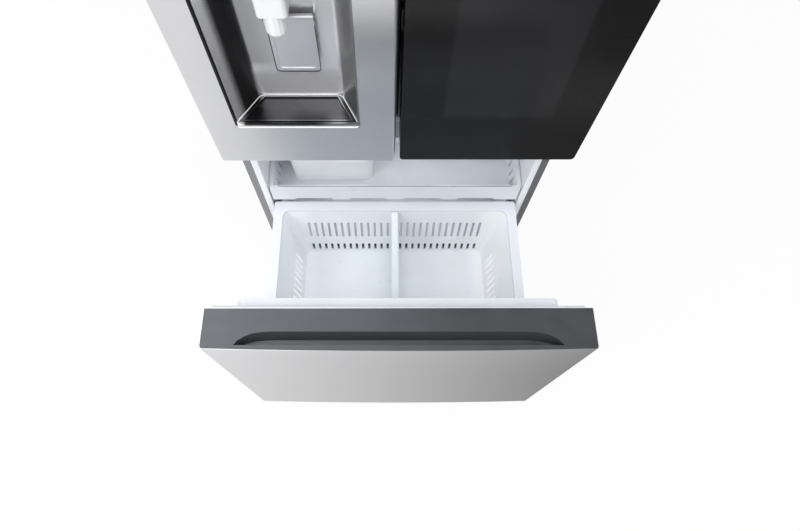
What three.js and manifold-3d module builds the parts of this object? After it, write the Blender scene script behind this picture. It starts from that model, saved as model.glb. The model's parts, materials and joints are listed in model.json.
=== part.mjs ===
// Bottom freezer refrigerator with two upper doors and one pull-out freezer drawer.
// Millimetres. +X runs to the right along the front, +Y from the front to the back, +Z up.
// Heights count from the floor. Depths count from the front of the closed doors, and the
// whole unit is then moved so that its origin is the middle of its footprint with the
// freezer drawer pulled out, which is how it is drawn.
import * as THREE from "three";
import { mergeVertices } from "three/addons/utils/BufferGeometryUtils.js";
import Module from "manifold-3d";

const wasm = await Module();
wasm.setup();

// ---- Driving dimensions ----------------------------------------------------------------

const CLEAR = 0.3; // between pieces that touch
const STEEL = 1.2; // sheet steel
const PLASTIC = 2.4; // moulded walls

const DOOR_HALF = 454; // half the width across both doors
const DOOR_DEPTH = 100;
const DOOR_GAP = 12; // between the two upper doors
const DOOR_BOTTOM = 702;
const DOOR_TOP = 1750;
const SEAL_DEPTH = 15;
const SEAL_WIDTH = 18;

const CASE_HALF = 452;
const CASE_FRONT = DOOR_DEPTH + SEAL_DEPTH;
const CASE_BACK = 830;
const CASE_FLOOR = 40;
const CASE_TOP = 1744;
const FLANGE = 22; // folded front edge of the case
const RAIL_BOTTOM = 650; // cross rail between the two compartments
const RAIL_TOP = 714;

const CAVITY_HALF = 410;
const CAVITY_BACK = 775;
const FRESH_FLOOR = 732;
const FRESH_ROOF = 1692;
const FREEZER_FLOOR = 76;
const FREEZER_ROOF = 632;
const STEP_FOOT = 578; // foot of the sloping wall in front of the machine compartment
const STEP_HEAD = 602;
const STEP_TOP = 300;
const LIP = 2; // thickness of a liner and of its front lip

const MACHINE_HALF = 430;
const MACHINE_FRONT = 640;
const MACHINE_TOP = 272;

const HINGE_X = 429;
const HINGE_Y = 75;
const PIN = 5;
const BORE = PIN + 0.6;

const DRAWER_TRAVEL = 502;
const DRAWER_BOTTOM = 50;
const DRAWER_TOP = 690;
const CROWN = 6; // how far the drawer front bows out
const CAP_DEPTH = 48;

const BASKET_RIM = 330;
const BASKET_FLOOR = 88;

const TRAY_FRONT = 118;
const TRAY_BACK = 600;
const TRAY_RIM = 409;
const TRAY_BASE = 340;

const SHELF_FRONT = 240;
const SHELF_BACK = 745;
const SHELF_THICK = 13;
const TOP_SHELF = 1430;
const MIDDLE_SHELF = 1190;
const CRISPER_TOP = 948;

const OPEN = -DRAWER_TRAVEL; // shift of all that moves with the pulled-out drawer
const ROW_Y = (CASE_BACK + OPEN - CROWN) / 2; // middle of the footprint

// ---- Materials --------------------------------------------------------------------------

const finish = (color, roughness, metalness = 0) => () =>
  new THREE.MeshStandardMaterial({ color, roughness, metalness });
const STAINLESS = finish(0xc4c6ca, 0.36, 0.9);
const GREY_STEEL = finish(0x8d9094, 0.5, 0.4);
const DARK_STEEL = finish(0x3c3e41, 0.45, 0.5);
const RECESS_GREY = finish(0x86878a, 0.35, 0.7);
const ZINC = finish(0xa9adb0, 0.45, 0.85);
const BLACK_GLASS = finish(0x16171a, 0.06);
const CLEAR_GLASS = finish(0xcfe0e4, 0.05);
const WHITE = finish(0xe9eef2, 0.42);
const FROSTED = finish(0xd5dfe7, 0.3);
const CAP_GREY = finish(0x66696d, 0.5);
const SEAL_GREY = finish(0xb9bec2, 0.7);
const BLACK = finish(0x1a1b1d, 0.5);
const SILVER = finish(0xc2c6ca, 0.35);
const FOAM = finish(0xe6d9a8, 0.9);

// ---- Solids -----------------------------------------------------------------------------

// A closed solid from a geometry. A geometry wound inside out is turned round.
function solid(geometry) {
  const loose = geometry.index ? geometry.toNonIndexed() : geometry;
  const bare = new THREE.BufferGeometry();
  bare.setAttribute("position", loose.getAttribute("position"));
  const merged = mergeVertices(bare, 1e-4);
  const make = (triVerts) =>
    new wasm.Manifold(
      new wasm.Mesh({ numProp: 3, vertProperties: merged.attributes.position.array, triVerts }),
    );
  const order = new Uint32Array(merged.index.array);
  const made = make(order);
  return made.volume() < 0 ? make(order.reverse()) : made;
}

const join = (...parts) => parts.flat().reduce((a, b) => a.add(b));
const cut = (body, ...tools) => tools.flat().reduce((a, b) => a.subtract(b), body);
const keep = (a, b) => a.intersect(b);
const range = (count) => Array.from({ length: count }, (_, i) => i);

function box(x0, x1, y0, y1, z0, z1) {
  const g = new THREE.BoxGeometry(x1 - x0, y1 - y0, z1 - z0);
  g.translate((x0 + x1) / 2, (y0 + y1) / 2, (z0 + z1) / 2);
  return solid(g);
}

const X = new THREE.Vector3(1, 0, 0);
const Y = new THREE.Vector3(0, 1, 0);
const Z = new THREE.Vector3(0, 0, 1);
const TURN = {
  x: new THREE.Matrix4().makeBasis(Y, Z, X), // an outline in (y, z)
  y: new THREE.Matrix4().makeBasis(X, Z, Y.clone().negate()), // an outline in (x, z)
  z: new THREE.Matrix4(), // an outline in (x, y)
};

// An outline pushed along an axis from one place to another.
function prism(axis, outline, from, to, arcSteps = 3) {
  const options = { depth: to - from, bevelEnabled: false, curveSegments: arcSteps };
  const g = new THREE.ExtrudeGeometry(outline, options).applyMatrix4(TURN[axis]);
  const shift = { x: [from, 0, 0], y: [0, to, 0], z: [0, 0, from] }[axis];
  return solid(g.translate(...shift));
}

const polygon = (points) => new THREE.Shape(points.map(([a, b]) => new THREE.Vector2(a, b)));

// A rectangle with its corners rounded, each by its own radius where four are given:
// low-low, high-low, high-high, low-high.
function rounded(a0, a1, b0, b1, radius) {
  const [r0, r1, r2, r3] = Array.isArray(radius) ? radius : range(4).map(() => radius);
  const s = new THREE.Shape();
  const q = Math.PI / 2;
  s.moveTo(a0 + r0, b0);
  s.lineTo(a1 - r1, b0);
  if (r1) s.absarc(a1 - r1, b0 + r1, r1, -q, 0);
  s.lineTo(a1, b1 - r2);
  if (r2) s.absarc(a1 - r2, b1 - r2, r2, 0, q);
  s.lineTo(a0 + r3, b1);
  if (r3) s.absarc(a0 + r3, b1 - r3, r3, q, 2 * q);
  s.lineTo(a0, b0 + r0);
  if (r0) s.absarc(a0 + r0, b0 + r0, r0, 2 * q, 3 * q);
  return s;
}

// A round bar along an axis; a and b are its centre's two other coordinates, in X, Y, Z order.
function rod(axis, radius, a, b, from, to, sides = 10) {
  const g = new THREE.CylinderGeometry(radius, radius, to - from, sides);
  const middle = (from + to) / 2;
  if (axis === "x") g.rotateZ(-Math.PI / 2).translate(middle, a, b);
  if (axis === "y") g.translate(a, middle, b);
  if (axis === "z") g.rotateX(Math.PI / 2).translate(a, b, middle);
  return solid(g);
}

// A profile of [radius, height] points turned about a vertical axis at (x, y).
function turned(profile, x, y, sides = 14) {
  const points = profile.map(([r, z]) => new THREE.Vector2(r, z));
  return solid(new THREE.LatheGeometry(points, sides).rotateX(Math.PI / 2).translate(x, y, 0));
}

// A tube of one thickness along a smooth curve through points.
function tube(radius, points, sides = 8, steps = 20) {
  const path = new THREE.CatmullRomCurve3(points.map((p) => new THREE.Vector3(...p)));
  const section = new THREE.Shape();
  section.absarc(0, 0, radius, 0, 2 * Math.PI);
  const options = { steps, extrudePath: path, curveSegments: Math.ceil(sides / 2) };
  return solid(new THREE.ExtrudeGeometry(section, options));
}

// A skin through rings of equally many points, closed at both ends. The rings are convex.
function loft(rings) {
  const n = rings[0].length;
  const index = [];
  for (let k = 0; k + 1 < rings.length; k++)
    for (let i = 0; i < n; i++) {
      const [a, b] = [k * n + i, k * n + ((i + 1) % n)];
      index.push(a, b, b + n, a, b + n, a + n);
    }
  const last = (rings.length - 1) * n;
  for (let i = 1; i + 1 < n; i++) index.push(0, i + 1, i, last, last + i, last + i + 1);
  const g = new THREE.BufferGeometry();
  g.setAttribute("position", new THREE.Float32BufferAttribute(rings.flat(2), 3));
  return solid(g.setIndex(index));
}

// A level ring, a rounded rectangle { x: [low, high], y: [low, high] } at height z.
function levelRing({ x, y }, z, radius, arcSteps) {
  const points = rounded(x[0], x[1], y[0], y[1], radius).getPoints(arcSteps);
  const ring = points.map((p) => [p.x, p.y, z]);
  const same = (p, q) => Math.hypot(p[0] - q[0], p[1] - q[1]) < 1e-6;
  return ring.filter((p, i) => !same(p, ring[(i + 1) % ring.length]));
}

const grown = ({ x, y }, by) => ({ x: [x[0] - by, x[1] + by], y: [y[0] - by, y[1] + by] });

// An open-topped container whose walls lean from its foot to its brim.
function tub({ foot, brim, low, high, wall = PLASTIC, radius = 12, arcSteps = 2 }) {
  const lean = (a, b, t) => a + (b - a) * t;
  const at = (t) => ({
    x: range(2).map((i) => lean(foot.x[i], brim.x[i], t)),
    y: range(2).map((i) => lean(foot.y[i], brim.y[i], t)),
  });
  const ring = (t, by, r) => levelRing(grown(at(t), by), lean(low, high, t), r, arcSteps);
  const above = 1 + 2 / (high - low);
  const outside = loft([ring(0, 0, radius), ring(1, 0, radius)]);
  const inner = Math.max(radius - wall, 1);
  const start = wall / (high - low);
  return cut(outside, loft([ring(start, -wall, inner), ring(above, -wall, inner)]));
}

// ---- The assembly -----------------------------------------------------------------------

const unit = new THREE.Group();

function put(name, body, material, mirrored = false) {
  const mesh = new THREE.Mesh(new THREE.BufferGeometry(), material());
  const data = body.getMesh();
  mesh.geometry.setAttribute("position", new THREE.BufferAttribute(data.vertProperties, 3));
  mesh.geometry.setIndex(new THREE.BufferAttribute(data.triVerts, 1));
  mesh.geometry.computeVertexNormals();
  mesh.name = name;
  if (mirrored) mesh.scale.x = -1;
  unit.add(mesh);
  return mesh;
}

// A piece built on the right, and its mirror image on the left.
function putPair(name, body, material) {
  put(name + "_right", body, material);
  put(name + "_left", body, material, true);
}

// ---- Cabinet ----------------------------------------------------------------------------

function caseSkin() {
  const w = CASE_HALF;
  const inner = w - STEEL;
  const open = w - FLANGE;
  const skin = cut(
    box(-w, w, CASE_FRONT, CASE_BACK, CASE_FLOOR, CASE_TOP),
    box(-inner, inner, CASE_FRONT + STEEL, CASE_BACK + 1, CASE_FLOOR - 1, CASE_TOP - STEEL),
    box(-open, open, CASE_FRONT - 1, CASE_FRONT + 2, RAIL_TOP, CASE_TOP - FLANGE),
    box(-open, open, CASE_FRONT - 1, CASE_FRONT + 2, CASE_FLOOR + 20, RAIL_BOTTOM),
  );
  return skin;
}

// The freezer compartment's outline in (y, z), grown by a wall.
function freezerOutline(front, by) {
  return polygon([
    [front, FREEZER_FLOOR - by],
    [STEP_FOOT + by, FREEZER_FLOOR - by],
    [STEP_HEAD + by, STEP_TOP - by],
    [CAVITY_BACK + by, STEP_TOP - by],
    [CAVITY_BACK + by, FREEZER_ROOF + by],
    [front, FREEZER_ROOF + by],
  ]);
}

const freezerSpace = (front, by) =>
  prism("x", freezerOutline(front, by), -CAVITY_HALF - by, CAVITY_HALF + by);

function freshSpace(front, by) {
  const w = CAVITY_HALF + by;
  return box(-w, w, front, CAVITY_BACK + by, FRESH_FLOOR - by, FRESH_ROOF + by);
}

function insulation() {
  const w = CASE_HALF - STEEL - CLEAR;
  const front = CASE_FRONT + LIP + CLEAR;
  const wall = LIP + CLEAR;
  return cut(
    box(-w, w, front, CASE_BACK - 4.2, CASE_FLOOR + CLEAR, CASE_TOP - STEEL - CLEAR),
    freshSpace(front - 1, wall),
    freezerSpace(front - 1, wall),
    box(-MACHINE_HALF, MACHINE_HALF, MACHINE_FRONT, CASE_BACK, 0, MACHINE_TOP),
  );
}

const LIP_HALF = CASE_HALF - FLANGE - CLEAR;

// A ledge along both side walls of a compartment.
function ledges(depth, y0, y1, z0, z1) {
  const w = CAVITY_HALF + 1;
  return [box(w - depth, w, y0, y1, z0, z1), box(-w, -w + depth, y0, y1, z0, z1)];
}

function freshLiner() {
  const lipTop = CASE_TOP - FLANGE - CLEAR;
  const lip = box(
    -LIP_HALF, LIP_HALF, CASE_FRONT, CASE_FRONT + LIP, RAIL_TOP + CLEAR, lipTop,
  );
  const shell = cut(join(freshSpace(CASE_FRONT, LIP), lip), freshSpace(CASE_FRONT - 1, 0));
  const rests = [TOP_SHELF, MIDDLE_SHELF, CRISPER_TOP].map((z) =>
    ledges(12, SHELF_FRONT + 10, SHELF_BACK, z - 9, z - CLEAR),
  );
  return join(shell, rests.flat());
}

const RAIL_DEPTH = 13; // width of the ledge that the upper tray's rim runs on
const TRAY_LEDGE = TRAY_RIM - 6;

function freezerLiner() {
  const lip = box(
    -LIP_HALF, LIP_HALF, CASE_FRONT, CASE_FRONT + LIP,
    CASE_FLOOR + 20 + CLEAR, RAIL_BOTTOM - CLEAR,
  );
  const shell = join(freezerSpace(CASE_FRONT, LIP), lip);
  const hollow = cut(shell, freezerSpace(CASE_FRONT - 1, 0));
  return join(hollow, ledges(RAIL_DEPTH, TRAY_FRONT + 11, TRAY_BACK + 20, TRAY_LEDGE - 10, TRAY_LEDGE));
}

function backPanel() {
  const w = CASE_HALF - STEEL - 2;
  const sheet = box(-w, w, CASE_BACK - 3.9, CASE_BACK - 2.7, MACHINE_TOP + 14, CASE_TOP - 4);
  const bead = (x) =>
    prism("z", polygon([
      [x - 14, CASE_BACK - 3],
      [x + 14, CASE_BACK - 3],
      [x + 9, CASE_BACK - 0.5],
      [x - 9, CASE_BACK - 0.5],
    ]), MACHINE_TOP + 70, CASE_TOP - 70);
  return join(sheet, [-300, -100, 100, 300].map(bead));
}

const RUNNER_X = 413; // middle of the channels that carry the legs and rollers
const RUNNER_HALF = 33;
const LEG_Y = 150;
const ROLLER_Y = 775;
const ROLLER_R = 17.5;
const MOTOR = { y: 735, z: 138, face: 72 };

function baseFrame() {
  const top = CASE_FLOOR - CLEAR;
  const [low, wall] = [15, 2.5];
  const [x0, x1] = [RUNNER_X - RUNNER_HALF, RUNNER_X + RUNNER_HALF];
  const back = CASE_BACK - 4;
  const front = CASE_FRONT + 4;
  const runner = cut(
    box(x0, x1, front, back, low, top),
    box(x0 + wall, x1 - wall, front + wall, back - wall, low - 1, top - wall),
  );
  const boss = cut(
    join(runner, rod("z", 13, RUNNER_X, LEG_Y, low + 2, top)),
    rod("z", 7, RUNNER_X, LEG_Y, 0, top - wall),
    rod("x", 5.2, ROLLER_Y, ROLLER_R, x0 - 1, x1 + 1),
  );
  const bar = (y0, y1) => box(-x0 - 1, x0 + 1, y0, y1, low + 4, top);
  const pan = box(-x0 - 1, x0 + 1, MACHINE_FRONT + 4, back, top - 3, top);
  const bracket = join(
    box(MOTOR.face, MOTOR.face + 3, MOTOR.y - 45, MOTOR.y + 45, top - 1, MOTOR.z + 30),
    rod("x", 24, MOTOR.y, MOTOR.z, MOTOR.face - 26, MOTOR.face + 12, 14),
  );
  const frame = join(boss, solidMirror(boss), bar(front, front + 14), bar(back - 14, back), pan);
  return cut(
    join(frame, bracket),
    rod("x", 3.8, MOTOR.y, MOTOR.z, MOTOR.face - 30, MOTOR.face - 8),
  );
}

// The mirror image of a solid in the plane x = 0.
function solidMirror(body) {
  const data = body.getMesh();
  const g = new THREE.BufferGeometry();
  g.setAttribute("position", new THREE.BufferAttribute(data.vertProperties.slice(), 3));
  g.setIndex(new THREE.BufferAttribute(data.triVerts, 1));
  return solid(g.scale(-1, 1, 1));
}

function kickGrille() {
  const top = CASE_FLOOR - 2;
  const plate = box(-440, 440, CASE_FRONT - 14, CASE_FRONT + 2, 13, top);
  const hollow = box(-437, 437, CASE_FRONT - 11, CASE_FRONT + 3, 10, top - 3);
  const slot = (x) => box(x - 28, x + 28, CASE_FRONT - 15, CASE_FRONT - 10, 20, 26);
  const places = range(10).map((i) => (i - 4.5) * 80);
  return cut(plate, hollow, places.map(slot));
}

function levellingLeg() {
  return turned([[0, 0], [17, 0], [18, 2], [18, 7], [9, 12], [6.2, 13], [6.2, 34], [0, 34]],
    RUNNER_X, LEG_Y);
}

function roller() {
  const wheel = rod("x", ROLLER_R, ROLLER_Y, ROLLER_R, RUNNER_X - 11, RUNNER_X + 11, 20);
  const axle = rod("x", 4.3, ROLLER_Y, ROLLER_R, RUNNER_X - 36, RUNNER_X + 36);
  return join(wheel, axle);
}

// Top hinge: an arm and pin under a moulded cover that bridges the door and the case.
function topHinge() {
  const low = DOOR_TOP + 2;
  const side = polygon([
    [HINGE_Y - 32, low],
    [CASE_FRONT + 4, low],
    [CASE_FRONT + 4, CASE_TOP + CLEAR],
    [250, CASE_TOP + CLEAR],
    [248, CASE_TOP + 16],
    [225, 1778],
    [205, 1784],
    [90, 1784],
    [62, 1779],
    [HINGE_Y - 31, 1764],
  ]);
  const cover = keep(
    prism("x", side, HINGE_X - 42, CASE_HALF),
    prism("z", rounded(HINGE_X - 42, CASE_HALF, HINGE_Y - 32, 250, 10), CASE_TOP, 1790, 2),
  );
  return join(cover, rod("z", PIN, HINGE_X, HINGE_Y, DOOR_TOP - 22, low + 4));
}

// Centre hinge: a bracket on the cross rail, with a pin up into the door above it.
function centreHinge() {
  const [low, high] = [694.5, 698.5];
  const plate = prism("z", rounded(HINGE_X - 27, CASE_HALF - 2, HINGE_Y - 14, CASE_FRONT - CLEAR,
    [14, 14, 0, 0]), low, high, 2);
  const leg = box(HINGE_X - 27, CASE_HALF - 2, CASE_FRONT - 4, CASE_FRONT - CLEAR, 668, high);
  return join(plate, leg, rod("z", PIN, HINGE_X, HINGE_Y, low, DOOR_BOTTOM + 14));
}

// ---- Inside the fresh-food compartment ---------------------------------------------------

// A glass shelf with its moulded edging, rear lip and the arms under its inner edge.
function shelf(x0, x1, top, arms) {
  const rim = 14;
  const z0 = top;
  const z1 = top + SHELF_THICK;
  const frame = prism("z", rounded(x0, x1, SHELF_FRONT, SHELF_BACK, 6), z0, z1, 3);
  const above = box(x0 + rim, x1 - rim, SHELF_FRONT + rim, SHELF_BACK - rim, z1 - 4, z1 + 1);
  const below = box(x0 + rim, x1 - rim, SHELF_FRONT + rim, SHELF_BACK - rim, z0 - 1, z1 - 9);
  const lip = box(x0 + 4, x1 - 4, SHELF_BACK - 4, SHELF_BACK, z1 - 1, z1 + 16);
  const arm = (x) =>
    prism("x", polygon([[SHELF_FRONT + 40, z0 + 2], [SHELF_BACK - 1, z0 - 26],
      [SHELF_BACK - 1, z0 + 2]]), x - 2, x + 2);
  return join(cut(frame, above, below), lip, arms.map(arm));
}

function crisperCover() {
  const w = CAVITY_HALF - 1.5;
  const [z0, z1] = [CRISPER_TOP, CRISPER_TOP + SHELF_THICK];
  const frame = box(-w, w, SHELF_FRONT, CAVITY_BACK - 1, z0, z1);
  const pane = (x0, x1, from, to) => box(x0, x1, SHELF_FRONT + 22, CAVITY_BACK - 20, from, to);
  const pocket = [pane(-w + 16, w - 16, z1 - 4, z1 + 1), pane(-w + 16, -10, z0 - 1, z1 - 9),
    pane(10, w - 16, z0 - 1, z1 - 9)];
  const middle = box(-3, 3, SHELF_FRONT + 10, CAVITY_BACK - 1, FRESH_FLOOR + CLEAR, z0 + 1);
  return join(cut(frame, pocket), middle);
}

// A crisper drawer with a bowed front that carries a finger lip.
function crisper() {
  const [x0, x1] = [8, CAVITY_HALF - 5];
  const [low, high] = [FRESH_FLOOR + CLEAR, CRISPER_TOP - 12];
  const bin = tub({
    foot: { x: [x0 + 16, x1 - 16], y: [SHELF_FRONT + 12, SHELF_BACK - 26] },
    brim: { x: [x0, x1], y: [SHELF_FRONT + 4, SHELF_BACK - 10] },
    low, high, radius: 20,
  });
  const face = new THREE.Shape();
  face.moveTo(x0, SHELF_FRONT + 6);
  face.quadraticCurveTo((x0 + x1) / 2, SHELF_FRONT - 14, x1, SHELF_FRONT + 6);
  face.lineTo(x0, SHELF_FRONT + 6);
  const middle = (x0 + x1) / 2;
  const grip = box(middle - 90, middle + 90, SHELF_FRONT - 12, SHELF_FRONT, high - 34, high - 12);
  const front = cut(prism("z", face, high - 60, high, 6), grip);
  return join(bin, front);
}

function airTower() {
  const back = CAVITY_BACK - CLEAR;
  const section = polygon([[-95, back], [-80, back - 24], [80, back - 24], [95, back]]);
  const body = prism("z", section, 1000, 1640);
  const hollow = prism("z", polygon([[-86, back + 1], [-74, back - 21], [74, back - 21],
    [86, back + 1]]), 1004, 1636);
  const vent = (i) => box(-55, 55, back - 30, back - 18, 1040 + i * 80, 1048 + i * 80);
  return cut(body, hollow, range(8).map(vent));
}

function ceilingLamp() {
  const top = FRESH_ROOF - CLEAR;
  const g = rounded(-130, 130, 300, 400, 18);
  return cut(prism("z", g, top - 12, top), box(-122, 122, 308, 392, top - 9, top + 1));
}

// ---- Inside the freezer ------------------------------------------------------------------

// The moulded cover over the evaporator: a hollow panel with two banks of air slots.
function evaporatorCover() {
  const [front, back] = [736, CAVITY_BACK - CLEAR];
  const [z0, z1] = [STEP_TOP + 1, FREEZER_ROOF - 1];
  const side = polygon([[back, z0], [back, z1], [front + 14, z1], [front, z1 - 30],
    [front, z0 + 20], [front + 8, z0]]);
  const inner = polygon([[back + 1, z0 + 3], [back + 1, z1 - 3], [front + 16, z1 - 3],
    [front + 3, z1 - 31], [front + 3, z0 + 21], [front + 10, z0 + 3]]);
  const w = CAVITY_HALF - 3;
  const shell = cut(prism("x", side, -w, w), prism("x", inner, -w + 3, w - 3));
  const slot = (x, z) => box(x - 7, x + 7, front - 1, front + 4, z - 16, z + 16);
  const banks = range(8).flatMap((i) => {
    const x = 70 + 32 * (i % 4);
    const z = i < 4 ? z0 + 90 : z1 - 70;
    return [slot(x, z), slot(-x, z)];
  });
  return cut(shell, banks);
}

const SLIDE = { front: 130, back: 590, low: 262, high: 306, shelf: 323.5 };
const SLIDE_MIDDLE = (SLIDE.low + SLIDE.high) / 2;

// Outer channel of the telescopic slide, fixed to the compartment's right wall.
function slideChannel() {
  const out = CAVITY_HALF - CLEAR;
  const web = box(out - 2, out, SLIDE.front, SLIDE.back, SLIDE.low, SLIDE.high);
  const edge = (z0, z1, turn0, turn1) => [
    box(out - 11.5, out - 1, SLIDE.front, SLIDE.back, z0, z1),
    box(out - 11.5, out - 9.5, SLIDE.front, SLIDE.back, turn0, turn1),
  ];
  return join(
    web,
    edge(SLIDE.low, SLIDE.low + 2, SLIDE.low + 1, SLIDE.low + 8),
    edge(SLIDE.high - 2, SLIDE.high, SLIDE.high - 8, SLIDE.high - 1),
  );
}

// Middle member: one edge runs in the channel and the other inside the drawer's rail.
function slideMember() {
  const out = CAVITY_HALF - CLEAR;
  const shift = OPEN / 2;
  const [front, back] = [SLIDE.front + shift, SLIDE.back + shift];
  const plate = (x0, x1, half) =>
    box(x0, x1, front, back, SLIDE_MIDDLE - half, SLIDE_MIDDLE + half);
  return join(plate(out - 7.5, out - 4, 18.5), plate(out - 20, out - 5, 3),
    plate(out - 21, out - 18, 15));
}

// The drawer's rail: it wraps the middle member and carries the basket's rim on a ledge.
function drawerRail() {
  const out = CAVITY_HALF - CLEAR;
  const [front, back] = [LINER_BACK + CLEAR, SLIDE.back + OPEN];
  const bar = (x0, x1, z0, z1) => box(x0, x1, front, back, z0, z1);
  return join(
    bar(out - 26, out - 24, SLIDE.low, SLIDE.shelf + 1),
    bar(out - 25, out - 14, SLIDE.low, SLIDE.low + 2),
    bar(out - 16, out - 14, SLIDE.low + 1, SLIDE.low + 9),
    bar(out - 25, out - 14, SLIDE.high - 2, SLIDE.high),
    bar(out - 16, out - 14, SLIDE.high - 9, SLIDE.high - 1),
    bar(out - 26, out - 10, SLIDE.shelf, SLIDE.shelf + 2),
  );
}

// ---- Doors --------------------------------------------------------------------------------

const PAN_BACK = DOOR_DEPTH - 1;
const LINER_FRONT = PAN_BACK + CLEAR;
const LINER_FLAT = LINER_FRONT + 2.5;
const RIDGE_BACK = 160; // how far the ridges that hold the door bins reach into the cabinet
const RIDGE = 26;
const TURNED_EDGE = 14;

// A folded steel pan, open at the back: a rounded front, four sides and a turned-in rear edge.
function pan(x0, x1, front, z0, z1) {
  const face = keep(
    prism("z", rounded(x0, x1, front, PAN_BACK, [9, 9, 0, 0]), z0, z1),
    prism("y", rounded(x0, x1, z0, z1, 8), front, PAN_BACK, 2),
  );
  const inner = prism("z", rounded(x0 + STEEL, x1 - STEEL, front + STEEL, PAN_BACK - STEEL,
    [8, 8, 0, 0]), z0 + STEEL, z1 - STEEL, 2);
  const mouth = box(x0 + TURNED_EDGE, x1 - TURNED_EDGE, PAN_BACK - 3, PAN_BACK + 1,
    z0 + TURNED_EDGE, z1 - TURNED_EDGE);
  return cut(face, inner, mouth);
}

// The sheet that closes a door: flat round its edge, with raised ridges that hold the bins.
// It is moulded from one sheet, so each ridge is hollow from the front.
function doorLiner(x0, x1, ridgeX, ridgeZ) {
  const flat = box(x0 + 2, x1 - 2, LINER_FRONT, LINER_FLAT, DOOR_BOTTOM + 2, DOOR_TOP - 2);
  const ring = (by, front, back) => {
    const [a, b] = [ridgeX[0] + by, ridgeX[1] - by];
    const [c, d] = [ridgeZ[0] + by, ridgeZ[1] - by];
    const w = RIDGE - 2 * by;
    return cut(
      prism("y", rounded(a, b, c, d, 12 - by), front, back, 2),
      box(a + w, b - w, front - 1, back + 1, c + w, d - w),
    );
  };
  const outside = ring(0, LINER_FRONT, RIDGE_BACK);
  const hollow = ring(PLASTIC, LINER_FRONT - 1, RIDGE_BACK - PLASTIC);
  return cut(join(flat, outside), hollow);
}

// The lugs on the ridges' inner faces that a bin hangs on.
function lugs(innerX, binLow) {
  return innerX.map((x, i) => {
    const [a, b] = i ? [x - 7, x + 1] : [x - 1, x + 7];
    return box(a, b, 118, 150, binLow + 40, binLow + 46);
  });
}

// A door bin that hangs on its lugs between two ridges.
function doorBin(innerX, low, height) {
  const [x0, x1] = [innerX[0] + 9, innerX[1] - 9];
  const body = tub({
    foot: { x: [x0 + 4, x1 - 4], y: [LINER_FLAT + 2, 196] },
    brim: { x: [x0, x1], y: [LINER_FLAT + 1, 207] },
    low, high: low + height, radius: 14,
  });
  const hook = (a, b) => box(a, b, 114, 154, low + 46 + CLEAR, low + 52);
  const trim = prism("z", rounded(x0 + 1, x1 - 1, 198, 209.5, [0, 0, 4, 4]), low + height - 22,
    low + height, 1);
  const scoop = box(x0 + PLASTIC + 1, x1 - PLASTIC - 1, 190, 204, low + height - 24, low + height + 1);
  return join(body, hook(x0 - 8, x0 + 3), hook(x1 - 3, x1 + 8), cut(trim, scoop));
}

// A seal: a ring of soft section with a bellows groove round its outside.
function seal(x0, x1, z0, z1, front, back) {
  const ring = (by, y0, y1) => cut(
    prism("y", rounded(x0 + by, x1 - by, z0 + by, z1 - by, 10 - by), y0, y1, 1),
    box(x0 + SEAL_WIDTH, x1 - SEAL_WIDTH, y0 - 1, y1 + 1, z0 + SEAL_WIDTH, z1 - SEAL_WIDTH),
  );
  const middle = (front + back) / 2;
  return join(ring(0, middle + 1, back), ring(4, middle - 2, middle + 2), ring(0, front, middle - 1));
}

const SEAL_FRONT = LINER_FLAT + CLEAR;
const SEAL_BACK = CASE_FRONT - CLEAR;
const SEAL_SIDE = HINGE_X; // the seal stays inside the hinge's axis, so the door can turn
const SEAL_MIDDLE = DOOR_GAP / 2 + 4;
const SEAL_LOW = RAIL_TOP;
const SEAL_HIGH = CASE_TOP - 16;

const hingeBores = (x) => [
  rod("z", BORE, x, HINGE_Y, DOOR_BOTTOM - 1, DOOR_BOTTOM + 5),
  rod("z", BORE, x, HINGE_Y, DOOR_TOP - 5, DOOR_TOP + 1),
];

const RIDGE_Z = [744, 1680];
const LEFT_RIDGE_X = [-402, -66];
const RIGHT_RIDGE_X = [66, 402];
const innerFaces = ([a, b]) => [a + RIDGE, b - RIDGE];

// ---- Left door with the dispenser --------------------------------------------------------

const RECESS = {
  front: { x: [-377, -93], z: [828, 1200] },
  back: { x: [-327, -134], z: [830, 1150] },
  depth: 83,
};
const BEZEL = { x: [-380.6, -89.4], z: [824.6, 1266], front: -2 };

function leftDoorSkin() {
  const x1 = -DOOR_GAP / 2;
  const { front } = RECESS;
  const mouth = box(front.x[0] - 2.9, front.x[1] + 2.9, -1, 5, front.z[0] - 2.9, front.z[1] + 2.9);
  return cut(pan(-DOOR_HALF, x1, 0, DOOR_BOTTOM, DOOR_TOP), mouth, hingeBores(-HINGE_X));
}

const FLAP = { axisX: -48, axisY: 124, stations: [820, 1210, 1600], low: 742, high: 1682 };

// The arms on the left door that the mullion flap turns on.
function flapArms() {
  const arm = (z) => cut(
    prism("z", rounded(FLAP.axisX - 8, FLAP.axisX + 6, LINER_FLAT - 1, FLAP.axisY + 7, [0, 0, 6, 6]),
      z - 9, z + 9, 1),
    rod("z", 3.6, FLAP.axisX, FLAP.axisY, z - 10, z + 10, 8),
  );
  return FLAP.stations.map(arm);
}

const ICE_ROOM = { low: 1262, high: 1676, back: 222 };

// The insulated ice room, moulded on the left door's liner, with its hinged front drawn shut.
function iceRoom() {
  const [x0, x1] = innerFaces(LEFT_RIDGE_X);
  const { low, high, back } = ICE_ROOM;
  const body = prism("z", rounded(x0 - 4, x1 + 4, LINER_FRONT, back, [0, 0, 14, 14]), low, high, 2);
  const hollow = box(x0 + 14, x1 - 14, LINER_FRONT - 1, back - 24, low + 18, high - 18);
  const seam = cut(
    box(x0 - 10, x1 + 10, back - 21, back - 18, low - 5, high + 5),
    box(x0, x1, back - 30, back + 1, low + 4, high - 4),
  );
  const grip = prism("x", polygon([[back - 9, low + 40], [back + 1, low + 32],
    [back + 1, low + 62]]), (x0 + x1) / 2 - 45, (x0 + x1) / 2 + 45);
  return cut(body, hollow, seam, grip);
}

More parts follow.
